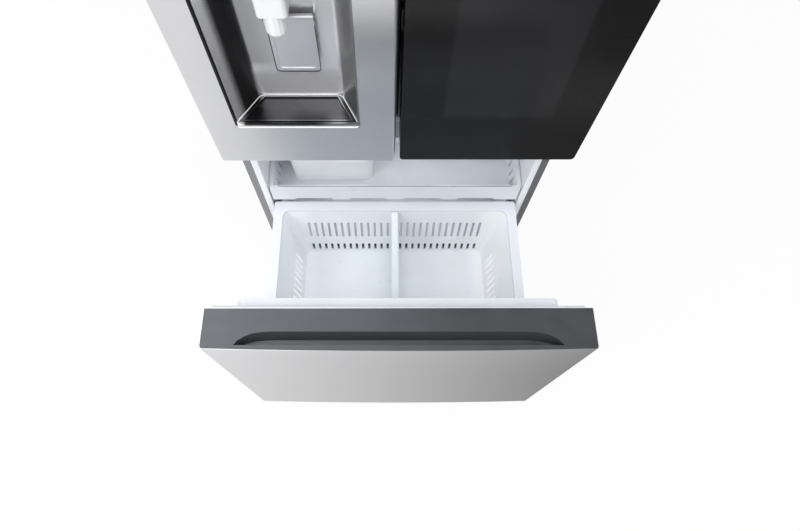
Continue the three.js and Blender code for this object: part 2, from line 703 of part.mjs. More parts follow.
function leftDoorLiner() {
  const body = doorLiner(-DOOR_HALF, -DOOR_GAP / 2, LEFT_RIDGE_X, RIDGE_Z);
  const faces = innerFaces(LEFT_RIDGE_X);
  const { low, high, back } = ICE_ROOM;
  const clearFront = box(faces[0] + 14, faces[1] - 14, LINER_FRONT - 1, back - 24, low + 18, high - 18);
  const room = cut(join(body, iceRoom()), clearFront);
  return join(room, flapArms(), LEFT_BINS.flatMap((z) => lugs(faces, z)));
}

const LEFT_BINS = [776, 1020];
const BIN_HEIGHT = 105;

// A ring in the x, z plane at depth y.
const standingRing = ({ x, z }, y, by, radius) =>
  rounded(x[0] - by, x[1] + by, z[0] - by, z[1] + by, radius)
    .getPoints(2)
    .map((p) => [p.x, y, p.y])
    .filter((p, i, all) => {
      const next = all[(i + 1) % all.length];
      return Math.hypot(p[0] - next[0], p[2] - next[2]) > 1e-6;
    });

// The recess moulding: a funnel that narrows to the back, a bezel on the door's face with
// the control field above, and two lugs that carry the paddle.
function dispenserHousing() {
  const { front, back, depth } = RECESS;
  const wall = PLASTIC;
  const outer = loft([standingRing(front, 0.5, wall, 16), standingRing(back, depth + wall, wall, 18)]);
  const lead = { x: [front.x[0] - 0.6, front.x[1] + 0.6], z: [front.z[0], front.z[1] + 0.4] };
  const inner = loft([standingRing(lead, -1, 0, 14), standingRing(back, depth, 0, 16)]);
  const face = cut(
    prism("y", rounded(...BEZEL.x, ...BEZEL.z, 14), BEZEL.front, -CLEAR, 2),
    prism("y", rounded(...front.x, front.z[0] + 12, front.z[1], 14), BEZEL.front - 1, 1, 2),
  );
  const sleeve = cut(
    prism("y", rounded(front.x[0] - wall, front.x[1] + wall, front.z[0] - wall, front.z[1] + wall,
      16), -CLEAR - 0.5, 1.5, 2),
    prism("y", rounded(...front.x, ...front.z, 14), -2, 3, 2),
  );
  const lug = (x) => cut(
    prism("x", rounded(PADDLE.y - 6, depth + 1, PADDLE.z - 8, PADDLE.z + 8, [7, 0, 0, 7]), x, x + 3, 2),
    rod("x", 3.4, PADDLE.y, PADDLE.z, x - 1, x + 4, 8),
  );
  const lugPair = [lug(PADDLE.x[0] - 4), lug(PADDLE.x[1] + 1)];
  const lip = box(front.x[0] - 1, front.x[1] + 1, BEZEL.front, 4, front.z[0] - wall, front.z[0] + 12);
  const body = cut(join(outer, sleeve), inner);
  return join(body, face, keep(lip, outerSlab(front)), lugPair);
}

const outerSlab = (front) =>
  prism("y", rounded(front.x[0] - 1, front.x[1] + 1, front.z[0] - 2, front.z[1], 12), BEZEL.front, 4, 2);

const PADDLE = { x: [-268, -172], y: 68, z: 1062, low: 930 };

// The push paddle: a dished plate on a barrel whose two pins sit in the housing's lugs.
function paddle() {
  const { x, y, z, low } = PADDLE;
  const plate = prism("y", rounded(...x, low, z + 2, [10, 10, 0, 0]), y - 3, y + 3);
  const dish = prism("y", rounded(x[0] + 8, x[1] - 8, low + 8, z - 16, 8), y - 4, y - 1.2, 2);
  const barrel = rod("x", 5, y, z, x[0] + 0.5, x[1] - 0.5);
  const pins = rod("x", 2.6, y, z, x[0] - 3.5, x[1] + 3.5, 8);
  return join(cut(plate, dish), barrel, pins);
}

// The lift-out drip tray on the recess's floor, a shallow dish with a raised rim that follows
// the recess's tapering plan.
function dripTray() {
  const { front, back, depth } = RECESS;
  const top = front.z[0] + 12;
  const rim = 2.6;
  const plan = (edge) => {
    const [y0, y1] = [6 + edge, depth - 3 - edge];
    const at = (y) => range(2).map((i) => front.x[i] + (back.x[i] - front.x[i]) * (y / depth));
    const [a, b] = [at(y0), at(y1)];
    const side = 10 + edge;
    return polygon([[a[0] + side, y0], [a[1] - side, y0], [b[1] - side, y1], [b[0] + side, y1]]);
  };
  return cut(prism("z", plan(0), top - 8, top + 1.5), prism("z", plan(rim), top - 3, top + 3));
}

// The chute block under the recess's ceiling with the round spout below it.
function nozzle() {
  const [x, y] = [-240, 31];
  const [low, step, high] = [1062, 1104, 1148];
  const block = prism("z", rounded(x - 30, x + 30, y - 20, RECESS.depth - CLEAR - 0.4, 10), step, high);
  const spout = turned([[21, step + 4], [21, low + 5], [18, low], [15, low], [15, step + 4],
    [21, step + 4]], x, y);
  return cut(join(block, spout), rod("z", 15, x, y, low - 6, step + 16, 14));
}

// The flap that closes the space between the doors. It folds back on the left door.
function mullionFlap() {
  const { axisX, axisY, stations, low, high } = FLAP;
  const plate = prism("z", rounded(axisX + 3, 2, CASE_FRONT + CLEAR, 133, [0, 4, 4, 0]), low, high, 1);
  const barrel = rod("z", 6, axisX, axisY, low, high, 8);
  const gap = (z) => cut(
    box(axisX - 16, axisX + 13, CASE_FRONT - 2, 140, z - 11, z + 11),
    box(axisX + 12, axisX + 60, CASE_FRONT - 3, 141, z - 12, z + 12),
  );
  const pin = rod("z", 2.7, axisX, axisY, low, high, 6);
  return join(cut(join(plate, barrel), stations.map(gap)), pin);
}

// ---- Right door with the glass front -----------------------------------------------------

const GLASS = 4;
const WINDOW = { x: [102, 352], z: [859, 1600] };
const PANE_FRONT = 91;

function rightDoorFrame() {
  const front = GLASS + CLEAR;
  const { x, z } = WINDOW;
  const body = pan(DOOR_GAP / 2, DOOR_HALF, front, DOOR_BOTTOM, DOOR_TOP);
  const reveal = prism("y", rounded(x[0] - 4, x[1] + 4, z[0] - 4, z[1] + 4, 12), front, PANE_FRONT, 2);
  const through = prism("y", rounded(...x, ...z, 9), front - 1, PANE_FRONT + 1, 2);
  return cut(join(body, reveal), through, hingeBores(HINGE_X));
}

function rightGlass() {
  return prism("y", rounded(DOOR_GAP / 2, DOOR_HALF, DOOR_BOTTOM + 4, DOOR_TOP, 10), 0, GLASS);
}

function rightWindow() {
  const { x, z } = WINDOW;
  return prism("y", rounded(x[0] - 3, x[1] + 3, z[0] - 3, z[1] + 3, 12),
    PANE_FRONT + CLEAR, PAN_BACK - CLEAR, 3);
}

const RIGHT_BINS = [776, 1070, 1364];

function rightDoorLiner() {
  const { x, z } = WINDOW;
  const body = doorLiner(DOOR_GAP / 2, DOOR_HALF, RIGHT_RIDGE_X, RIDGE_Z);
  const opening = prism("y", rounded(x[0] + 4, x[1] - 4, z[0] + 4, z[1] - 4, 8),
    LINER_FRONT - 1, LINER_FLAT + 1, 3);
  const faces = innerFaces(RIGHT_RIDGE_X);
  return join(cut(body, opening), RIGHT_BINS.flatMap((low) => lugs(faces, low)));
}

// ---- Freezer drawer ------------------------------------------------------------------------

// Plan of the drawer front: straight back and sides, a front that bows out by the crown.
function drawerPlan(inset, back) {
  const w = DOOR_HALF - inset;
  const front = OPEN + inset;
  const corner = 7;
  const s = new THREE.Shape();
  s.moveTo(-w, back);
  s.lineTo(-w, front + corner);
  s.quadraticCurveTo(-w, front, -w + corner, front - 0.3);
  s.quadraticCurveTo(0, front - 2 * CROWN + 0.3, w - corner, front - 0.3);
  s.quadraticCurveTo(w, front, w, front + corner);
  s.lineTo(w, back);
  s.closePath();
  return s;
}

const DRAWER_BACK = OPEN + PAN_BACK;
const LINER_BACK = OPEN + DOOR_DEPTH + 16; // rear face of the drawer's inner panel
const DRAWER_ARC = 8;

function drawerSkin() {
  const outer = prism("z", drawerPlan(0, DRAWER_BACK), DRAWER_BOTTOM, DRAWER_TOP - 1, DRAWER_ARC);
  const inner = prism("z", drawerPlan(STEEL, DRAWER_BACK - STEEL), DRAWER_BOTTOM + STEEL,
    DRAWER_TOP + 1, DRAWER_ARC);
  const w = DOOR_HALF - TURNED_EDGE;
  const mouth = box(-w, w, DRAWER_BACK - 3, DRAWER_BACK + 1, DRAWER_BOTTOM + TURNED_EDGE,
    DRAWER_TOP - CAP_DEPTH);
  return cut(outer, inner, mouth);
}

const POCKET = {
  front: OPEN + 8.5,
  back: OPEN + 41,
  frontHalf: 377,
  backHalf: 293,
  floor: DRAWER_TOP - 30,
};

// Plan of the pocket handle: a straight front lip and convex ends that sweep to the back.
function pocketPlan({ front, back, frontHalf, backHalf }) {
  const s = new THREE.Shape();
  s.moveTo(-frontHalf, front);
  s.lineTo(frontHalf, front);
  s.quadraticCurveTo(frontHalf - 22, back, backHalf, back);
  s.lineTo(-backHalf, back);
  s.quadraticCurveTo(-frontHalf + 22, back, -frontHalf, front);
  return s.getPoints(5).slice(0, -1);
}

const pocketRing = (plan, z) => pocketPlan(plan).map((p) => [p.x, p.y, z]);

// The top moulding with its pocket handle. The pocket's back wall slopes and its floor runs
// forward under the lip, so that fingers hook behind it. The moulding is hollow below.
function drawerCap() {
  const low = DRAWER_TOP - CAP_DEPTH + CLEAR;
  const inset = STEEL + CLEAR;
  const back = DRAWER_BACK - STEEL - CLEAR;
  const outer = prism("z", drawerPlan(inset, back), low, DRAWER_TOP, DRAWER_ARC);
  const wall = 3;
  const inner = prism("z", drawerPlan(inset + wall, back - wall), low - 1, DRAWER_TOP - wall,
    DRAWER_ARC);
  const { front, floor } = POCKET;
  const deep = { ...POCKET, back: POCKET.back - 12, backHalf: POCKET.backHalf - 8 };
  const space = loft([pocketRing(deep, floor), pocketRing(POCKET, DRAWER_TOP + 0.01)]);
  const grip = prism("x", rounded(front - 4, front + 12, floor, floor + 16, [5, 0, 0, 5]),
    -POCKET.frontHalf + 30, POCKET.frontHalf - 30, 3);
  const wide = (by, z) => ({
    front: z.front - by,
    back: z.back + by,
    frontHalf: z.frontHalf + by,
    backHalf: z.backHalf + by,
  });
  const moulded = loft([
    pocketRing(wide(wall, deep), floor - wall),
    pocketRing(wide(wall, POCKET), DRAWER_TOP - 1),
  ]);
  const trough = keep(
    join(moulded, prism("x", rounded(front - 6.5, front + 15, floor - wall, floor + 19, [6, 0, 0, 4]),
      -POCKET.frontHalf + 27, POCKET.frontHalf - 27, 3)),
    prism("z", drawerPlan(inset, back), low, DRAWER_TOP - 0.5, DRAWER_ARC),
  );
  return cut(join(cut(outer, inner), trough), space, grip);
}

const RIDGE_LOW = 580;

// The white panel behind the drawer front, raised to fit the freezer's opening, with a deeper
// ridge along its top.
function drawerLiner() {
  const front = DRAWER_BACK + CLEAR;
  const flat = front + 2.5;
  const plate = box(-DOOR_HALF + 3, DOOR_HALF - 3, front, flat, DRAWER_BOTTOM + 3,
    DRAWER_TOP - 3);
  const field = (by, back) => prism("y", rounded(-402 + by, 402 - by, 84 + by, 624 - by, 22 - by),
    front - 1, back);
  const ridge = (by, back) => prism("y", rounded(-402 + by, 402 - by, RIDGE_LOW + by, 624 - by,
    [8, 8, 20, 20]), front - 1, back);
  const outside = cut(join(field(0, LINER_BACK), ridge(0, OPEN + 150)),
    box(-500, 500, front - 5, front, 0, 700));
  const hollow = join(field(PLASTIC, LINER_BACK - PLASTIC), ridge(PLASTIC, OPEN + 150 - PLASTIC));
  return cut(join(plate, outside), hollow);
}

const RIM_HALF = 402;
const SLOTS = 13;
const SLOT_PITCH = 22.8;
const FIRST_SLOT = 23;
const SLOT_HALF = 4.2;

// The deep basket. Its rim rests on the drawer's rails, its walls lean in to the floor, and
// two rows of air slots pass through its back wall and one through each side.
function basket() {
  const front = LINER_BACK + 2;
  const foot = { x: [-328, 328], y: [front + 26, 60] };
  const brim = { x: [-375, 375], y: [front + 8, 84] };
  const outline = { low: BASKET_FLOOR - PLASTIC, high: BASKET_RIM, radius: 26, arcSteps: 3 };
  const body = tub({ foot, brim, ...outline });
  const rim = cut(
    prism("z", rounded(-RIM_HALF, RIM_HALF, front, CASE_FRONT + 1, 9), BASKET_RIM - 4, BASKET_RIM, 2),
    prism("z", rounded(brim.x[0] + 1, brim.x[1] - 1, brim.y[0] + 1, brim.y[1] - 1, 24),
      BASKET_RIM - 5, BASKET_RIM + 1),
  );
  const backSlot = (x, z0, z1) => box(x - SLOT_HALF, x + SLOT_HALF, 48, 92, z0, z1);
  const sideSlot = (s, y) => box(...(s > 0 ? [322, 365] : [-365, -322]), y - 3, y + 3, 120, 190);
  const backSlots = range(SLOTS).flatMap((i) => {
    const x = FIRST_SLOT + i * SLOT_PITCH;
    return [x, -x].flatMap((at) => [backSlot(at, 178, 262), backSlot(at, 98, 134)]);
  });
  const sideSlots = range(SLOTS).flatMap((i) => [1, -1].map((s) => sideSlot(s, -8 - i * SLOT_PITCH)));
  return cut(join(body, rim), backSlots, sideSlots);
}

// The upright divider across the middle of the basket: a broad top bar on a thin web.
function basketDivider() {
  const [front, back] = [LINER_BACK + 32, 60];
  const bar = prism("y", rounded(-11.5, 11.5, BASKET_RIM - 18, BASKET_RIM - 2, [0, 0, 5, 5]), front, 76, 2);
  const web = prism("x", polygon([[front + 3, BASKET_FLOOR + 1], [back - 6, BASKET_FLOOR + 1],
    [back + 14, BASKET_RIM - 16], [front - 3, BASKET_RIM - 16]]), -2, 2);
  return join(bar, web);
}

const NOTCH = { half: 63, centres: [-268, -90, 90, 268] };

// The upper tray: a rimmed tub whose front panel has four notches along its lower edge.
function freezerTray() {
  const half = CAVITY_HALF - RAIL_DEPTH;
  const body = tub({
    foot: { x: [-half + 14, half - 14], y: [TRAY_FRONT + 16, TRAY_BACK - 14] },
    brim: { x: [-half + 1, half - 1], y: [TRAY_FRONT + 2, TRAY_BACK - 4] },
    low: TRAY_BASE, high: TRAY_RIM, radius: 14,
  });
  const w = CAVITY_HALF - 5;
  const rim = cut(
    prism("z", rounded(-w, w, TRAY_FRONT + 8, TRAY_BACK, 6), TRAY_RIM - 4, TRAY_RIM, 2),
    box(-half + 2, half - 2, TRAY_FRONT + 3, TRAY_BACK - 5, TRAY_RIM - 5, TRAY_RIM + 1),
  );
  const panel = prism("y", rounded(-w + 1, w - 1, TRAY_BASE, TRAY_RIM, 4), TRAY_FRONT, TRAY_FRONT + 9, 2);
  const notch = (x) => prism("y", polygon([
    [x - NOTCH.half, TRAY_BASE - 1], [x + NOTCH.half, TRAY_BASE - 1],
    [x + NOTCH.half - 5, TRAY_BASE + 8], [x - NOTCH.half + 5, TRAY_BASE + 8],
  ]), TRAY_FRONT - 1, TRAY_FRONT + 7);
  const finger = prism("y", rounded(-110, 110, TRAY_RIM - 22, TRAY_RIM + 9, [10, 10, 0, 0]),
    TRAY_FRONT + 2.5, TRAY_FRONT + 6, 2);
  const sideSlot = (s, i) => {
    const y = TRAY_FRONT + 50 + i * 34;
    return box(...(s > 0 ? [half - 20, half + 2] : [-half - 2, -half + 20]), y - 3, y + 3,
      TRAY_BASE + 14, TRAY_RIM - 18);
  };
  const slots = range(4).flatMap((i) => [1, -1].map((s) => sideSlot(s, i)));
  return cut(join(body, rim, panel), NOTCH.centres.map(notch), slots, finger);
}

const ICE_BIN = { x: [-345, -67], y: [187, 470], low: TRAY_BASE + PLASTIC + CLEAR, high: 452 };

function iceBin() {
  const { x, y, low, high } = ICE_BIN;
  const body = tub({
    foot: { x: [x[0] + 8, x[1] - 6], y: [y[0] + 6, y[1] - 14] },
    brim: { x: [x[0] + 6, x[1] - 4], y: [y[0] + 2, y[1] - 6] },
    low, high, radius: 22,
  });
  const rim = cut(
    prism("z", rounded(...x, ...y, 24), high - 5, high, 2),
    prism("z", rounded(x[0] + 7, x[1] - 5, y[0] + 3, y[1] - 7, 20), high - 6, high + 1, 2),
  );
  return join(body, rim);
}

// ---- Machine compartment -------------------------------------------------------------------

function compressor() {
  const [x, y, floor] = [-230, 736, CASE_FLOOR];
  const shell = turned([[0, floor + 14], [44, floor + 16], [66, floor + 30], [72, floor + 52],
    [73, floor + 80], [72, floor + 84], [72, floor + 112], [60, floor + 138], [34, floor + 154],
    [0, floor + 158]], x, y, 14);
  const plate = prism("z", rounded(x - 90, x + 90, y - 62, y + 62, 12), floor + 12, floor + 16, 3);
  const mount = (dx, dy) => rod("z", 11, x + dx, y + dy, floor, floor + 13, 8);
  const mounts = [[-74, -46], [74, -46], [-74, 46], [74, 46]].map(([a, b]) => mount(a, b));
  const suction = tube(5, [[x + 60, y, floor + 100], [x + 100, y, floor + 108],
    [x + 118, y - 20, floor + 150], [x + 120, y - 46, floor + 190]], 6, 8);
  const terminal = box(x - 96, x - 60, y - 28, y + 28, floor + 60, floor + 104);
  return join(shell, plate, mounts, suction, terminal);
}

const BLADES = 5;

// The axial fan of the machine compartment, on a shaft that sits in its motor.
function condenserFan() {
  const { y, z, face } = MOTOR;
  const hub = rod("x", 20, y, z, face - 62, face - 30, 14);
  const shaft = rod("x", 3, y, z, face - 40, face - 14, 8);
  const blade = (i) => {
    const g = new THREE.BoxGeometry(3, 34, 62);
    g.rotateZ(0.55).translate(0, 0, 46).rotateX((i * 2 * Math.PI) / BLADES);
    return solid(g.translate(face - 46, y, z));
  };
  return join(hub, shaft, range(BLADES).map(blade));
}

function machineCover() {
  const back = CASE_BACK - 0.6;
  const w = CASE_HALF - STEEL - 2;
  const [low, high] = [CASE_FLOOR + 2, MACHINE_TOP + 12];
  const plate = box(-w, w, back - 2, back, low, high);
  const edge = cut(
    box(-MACHINE_HALF + 2, MACHINE_HALF - 2, back - 14, back - 1, low + 6, MACHINE_TOP - 3),
    box(-MACHINE_HALF + 4, MACHINE_HALF - 4, back - 15, back, low + 8, MACHINE_TOP - 5),
  );
  const louvre = (x, z) => prism("x", polygon([[back - 7, z - 3], [back + 1, z - 9],
    [back + 1, z - 1], [back - 7, z + 5]]), x - 84, x + 84);
  const banks = [-170, 60].flatMap((x) => range(6).map((i) => louvre(x, 90 + i * 27)));
  return cut(join(plate, edge), banks, box(INLET.x - 23, INLET.x + 23, back - 20, back + 1,
    INLET.z - 17, INLET.z + 17));
}

const INLET = { x: 350, z: 220 };

// The mains inlet: a recessed socket body with its three contacts.
function powerInlet() {
  const back = CASE_BACK - 0.6;
  const { x, z } = INLET;
  const shell = cut(
    prism("y", rounded(x - 22.5, x + 22.5, z - 16.5, z + 16.5, 3), back - 30, back, 2),
    prism("y", rounded(x - 13, x + 13, z - 9, z + 9, [3, 3, 6, 6]), back - 20, back + 1, 2),
  );
  const pin = (dx, dz) => box(x + dx - 1.6, x + dx + 1.6, back - 22, back - 4, z + dz - 3, z + dz + 3);
  return join(shell, pin(-7, -2), pin(7, -2), pin(0, 3));
}

// ---- Everything in place --------------------------------------------------------------------

put("case", caseSkin(), GREY_STEEL);
put("insulation", insulation(), FOAM);
put("back_panel", backPanel(), ZINC);
put("fresh_liner", freshLiner(), WHITE);
put("freezer_liner", freezerLiner(), WHITE);
put("base_frame", baseFrame(), ZINC);
put("kick_grille", kickGrille(), CAP_GREY);
putPair("levelling_leg", levellingLeg(), BLACK);
putPair("roller", roller(), BLACK);
putPair("top_hinge", topHinge(), CAP_GREY);
putPair("centre_hinge", centreHinge(), ZINC);

put("shelf_top_left", shelf(-CAVITY_HALF + 3, -3, TOP_SHELF, [-60, -350]), CLEAR_GLASS);
put("shelf_top_right", shelf(3, CAVITY_HALF - 3, TOP_SHELF, [60, 350]), CLEAR_GLASS);
put("shelf_middle", shelf(-CAVITY_HALF + 3, CAVITY_HALF - 3, MIDDLE_SHELF, [-120, 120]), CLEAR_GLASS);
put("crisper_cover", crisperCover(), CLEAR_GLASS);
putPair("crisper", crisper(), FROSTED);
put("air_tower", airTower(), WHITE);
put("ceiling_lamp", ceilingLamp(), FROSTED);

put("evaporator_cover", evaporatorCover(), WHITE);
putPair("slide_channel", slideChannel(), ZINC);
putPair("slide_member", slideMember(), ZINC);
putPair("drawer_rail", drawerRail(), ZINC);

put("left_door_skin", leftDoorSkin(), STAINLESS);
put("left_door_liner", leftDoorLiner(), WHITE);
put("left_door_seal", seal(-SEAL_SIDE, -SEAL_MIDDLE, SEAL_LOW, SEAL_HIGH, SEAL_FRONT, SEAL_BACK),
  SEAL_GREY);
put("dispenser_housing", dispenserHousing(), RECESS_GREY);
put("dispenser_paddle", paddle(), RECESS_GREY);
put("drip_tray", dripTray(), RECESS_GREY);
put("dispenser_nozzle", nozzle(), SILVER);
put("mullion_flap", mullionFlap(), DARK_STEEL);
const LEFT_FACES = innerFaces(LEFT_RIDGE_X);
LEFT_BINS.forEach((low, i) =>
  put(["left_bin_lower", "left_bin_upper"][i], doorBin(LEFT_FACES, low, BIN_HEIGHT), FROSTED),
);

put("right_door_frame", rightDoorFrame(), DARK_STEEL);
put("right_door_glass", rightGlass(), BLACK_GLASS);
put("right_door_window", rightWindow(), CLEAR_GLASS);
put("right_door_liner", rightDoorLiner(), WHITE);
put("right_door_seal", seal(SEAL_MIDDLE, SEAL_SIDE, SEAL_LOW, SEAL_HIGH, SEAL_FRONT, SEAL_BACK),
  SEAL_GREY);
const RIGHT_FACES = innerFaces(RIGHT_RIDGE_X);
RIGHT_BINS.forEach((low, i) =>
  put(`right_bin_${["lower", "middle", "upper"][i]}`, doorBin(RIGHT_FACES, low, BIN_HEIGHT), FROSTED),
);

put("drawer_skin", drawerSkin(), STAINLESS);
put("drawer_cap", drawerCap(), CAP_GREY);
put("drawer_liner", drawerLiner(), WHITE);
put("drawer_seal", seal(-446, 446, 56, 664, OPEN + SEAL_FRONT, OPEN + SEAL_BACK), SEAL_GREY);
put("basket", basket(), FROSTED);
put("basket_divider", basketDivider(), SILVER);
put("freezer_tray", freezerTray(), FROSTED);
put("ice_bin", iceBin(), WHITE);

put("compressor", compressor(), BLACK);
put("condenser_fan", condenserFan(), BLACK);
put("machine_cover", machineCover(), ZINC);
put("power_inlet", powerInlet(), BLACK);

unit.position.y = -ROW_Y;
const refrigerator = new THREE.Group();
refrigerator.add(unit);
export default refrigerator;
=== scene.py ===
import json
import math

import bmesh
import bpy
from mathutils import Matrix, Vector


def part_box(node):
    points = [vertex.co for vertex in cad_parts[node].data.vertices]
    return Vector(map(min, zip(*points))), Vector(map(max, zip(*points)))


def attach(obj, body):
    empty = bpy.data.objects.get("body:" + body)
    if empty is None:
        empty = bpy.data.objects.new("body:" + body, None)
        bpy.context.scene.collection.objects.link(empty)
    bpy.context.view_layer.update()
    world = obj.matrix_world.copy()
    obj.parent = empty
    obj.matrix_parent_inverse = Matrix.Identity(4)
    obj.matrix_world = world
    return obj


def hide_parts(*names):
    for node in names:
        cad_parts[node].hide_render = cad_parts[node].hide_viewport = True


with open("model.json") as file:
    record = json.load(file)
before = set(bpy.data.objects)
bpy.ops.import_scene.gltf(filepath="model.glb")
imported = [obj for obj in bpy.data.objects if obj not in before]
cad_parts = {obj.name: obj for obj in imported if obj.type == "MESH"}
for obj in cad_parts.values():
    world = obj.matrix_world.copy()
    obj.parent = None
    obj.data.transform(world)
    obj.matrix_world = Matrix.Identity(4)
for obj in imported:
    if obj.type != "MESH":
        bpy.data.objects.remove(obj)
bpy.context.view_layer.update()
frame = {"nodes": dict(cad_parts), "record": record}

# Places and sizes are metres in the frame of the CAD: X to the right, Y to the back, Z up.
X, Y, Z = 0, 1, 2
WHITE = (1.0, 1.0, 1.0, 1.0)


def placed(name, data):
    """A new object in the scene."""
    made = bpy.data.objects.new(name, data)
    bpy.context.collection.objects.link(made)
    return made


# ---- Camera -----------------------------------------------------------------------------

CAMERA_AT = (-0.028, -0.9844, 1.7913)
CAMERA_PITCH = math.radians(69.58)  # below the horizon
NEAREST_SEEN = 0.02
FOCAL_PIXELS = 505.9
CENTRE_PIXELS = (386.4, 311.96)  # where the camera's axis meets the photo
PHOTO_PIXELS = (800.0, 531.0)
SENSOR = 36.0  # mm

camera_data = bpy.data.cameras.new("camera")
camera_data.sensor_width = SENSOR
camera_data.lens = SENSOR * FOCAL_PIXELS / PHOTO_PIXELS[0]
camera_data.shift_x = (PHOTO_PIXELS[0] / 2 - CENTRE_PIXELS[0]) / PHOTO_PIXELS[0]
camera_data.shift_y = (CENTRE_PIXELS[1] - PHOTO_PIXELS[1] / 2) / PHOTO_PIXELS[0]
camera_data.clip_start = NEAREST_SEEN
camera = placed("camera", camera_data)
camera.location = CAMERA_AT
camera.rotation_euler = (math.pi / 2 - CAMERA_PITCH, 0.0, 0.0)
bpy.context.scene.camera = camera
bpy.context.scene.view_settings.view_transform = "Standard"

# ---- Lamps ------------------------------------------------------------------------------


def lamp(name, at, aim, size, watts):
    """A rectangular lamp that shines from one point towards another."""
    data = bpy.data.lights.new(name, "AREA")
    data.shape = "RECTANGLE"
    data.size, data.size_y = size
    data.energy = watts
    made = placed(name, data)
    made.location = at
    made.rotation_euler = (Vector(aim) - Vector(at)).to_track_quat("-Z", "Y").to_euler()
    return made


key_lamp = lamp("key", at=(-1.9, -2.0, 2.5), aim=(-0.1, -0.4, 0.5), size=(1.6, 1.6), watts=30)
key_lamp.visible_glossy = False  # or the steel burns out in views from the right
lamp("top", at=(0.1, -1.3, 3.2), aim=(0.0, -0.2, 0.4), size=(1.4, 1.4), watts=27)
lamp("glow", at=(-1.5, 0.15, 3.1), aim=(-0.5, -0.6, 0.7), size=(1.3, 1.3), watts=8)
lamp("freezer", at=(0.0, 0.06, 0.61), aim=(0.0, -0.04, 0.3), size=(0.6, 0.05), watts=0.36)
lamp("bay", at=(0.0, 0.2, 0.325), aim=(0.0, 0.0, 0.1), size=(0.6, 0.04), watts=0.36)

# ---- World, floor and cards -------------------------------------------------------------

ROOM_LIGHT = 0.92  # strength of the world's light on the object, where 1 is white
FLOOR_REACH = 14.0
FLOOR_GREY = (0.8, 0.8, 0.8, 1.0)
FLOOR_WHITENESS = 0.9  # share of plain white in the floor that is seen; the rest takes shadows
CARD_GREY = (0.05, 0.05, 0.05, 1.0)
CARD_LIFT = 0.004  # above the floor
SKY_CARD_HEIGHT = 2.9


def fresh_tree(owner):
    """The node tree of a material or world, emptied."""
    owner.use_nodes = True
    owner.node_tree.nodes.clear()
    return owner.node_tree


def shader(tree, kind, **inputs):
    """The output of a new shader node with these inputs."""
    made = tree.nodes.new(kind)
    for key, value in inputs.items():
        made.inputs[key].default_value = value
    return made.outputs[0]


def mixed(tree, share, first, second):
    """The first shader with a share of the second. The share is a number or a socket."""
    mix = tree.nodes.new("ShaderNodeMixShader")
    if isinstance(share, float):
        mix.inputs[0].default_value = share
    else:
        tree.links.new(share, mix.inputs[0])
    tree.links.new(first, mix.inputs[1])
    tree.links.new(second, mix.inputs[2])
    return mix.outputs[0]


def white_where_seen(tree, shaded, white):
    """White for rays of the camera, gloss and glass, and the shaded look for all others."""
    path = tree.nodes.new("ShaderNodeLightPath")
    seen = path.outputs["Is Camera Ray"]
    for kind in ("Is Glossy Ray", "Is Transmission Ray"):
        either = tree.nodes.new("ShaderNodeMath")
        either.operation = "MAXIMUM"
        tree.links.new(seen, either.inputs[0])
        tree.links.new(path.outputs[kind], either.inputs[1])
        seen = either.outputs[0]
    return mixed(tree, seen, shaded, white)


def finish_tree(tree, kind, surface):
    """Gives the tree its output node."""
    out = tree.nodes.new(kind)
    tree.links.new(surface, out.inputs["Surface"])


def studio_world():
    world = bpy.data.worlds.new("studio")
    tree = fresh_tree(world)
    soft = shader(tree, "ShaderNodeBackground", Color=WHITE, Strength=ROOM_LIGHT)
    bright = shader(tree, "ShaderNodeBackground", Color=WHITE, Strength=1.0)
    finish_tree(tree, "ShaderNodeOutputWorld", white_where_seen(tree, soft, bright))
    return world


def stage_sheet(name, corners, height, look):
    """A level rectangle of the stage."""
    (x0, y0), (x1, y1) = corners
    mesh = bpy.data.meshes.new(name)
    outline = [(x0, y0, height), (x1, y0, height), (x1, y1, height), (x0, y1, height)]
    mesh.from_pydata(outline, [], [(0, 1, 2, 3)])
    mesh.materials.append(look)
    made = placed(name, mesh)
    return made


def floor():
    look = bpy.data.materials.new("floor_white")
    tree = fresh_tree(look)
    paper = shader(tree, "ShaderNodeBsdfDiffuse", Color=FLOOR_GREY)
    white = shader(tree, "ShaderNodeEmission", Strength=1.0)
    lit = mixed(tree, FLOOR_WHITENESS, paper, white)
    finish_tree(tree, "ShaderNodeOutputMaterial", white_where_seen(tree, paper, lit))
    stage_sheet("floor", ((-FLOOR_REACH, -FLOOR_REACH), (FLOOR_REACH, FLOOR_REACH)), 0.0, look)


def dark_card(name, corners, height, fade, darkness):
    """A card that only gloss sees and that darkens what it reflects, more so to the right."""
    look = bpy.data.materials.new(name)
    tree = fresh_tree(look)
    place = tree.nodes.new("ShaderNodeTexCoord")
    axes = tree.nodes.new("ShaderNodeSeparateXYZ")
    tree.links.new(place.outputs["Object"], axes.inputs[0])
    share = tree.nodes.new("ShaderNodeMapRange")
    share.inputs["From Min"].default_value, share.inputs["From Max"].default_value = fade
    share.inputs["To Max"].default_value = darkness
    tree.links.new(axes.outputs[X], share.inputs["Value"])
    clear = shader(tree, "ShaderNodeBsdfTransparent")
    dark = shader(tree, "ShaderNodeBsdfDiffuse", Color=CARD_GREY)
    finish_tree(tree, "ShaderNodeOutputMaterial", mixed(tree, share.outputs[0], clear, dark))
    card = stage_sheet(name, corners, height, look)
    card.visible_camera = False
    card.visible_diffuse = False
    card.visible_shadow = False


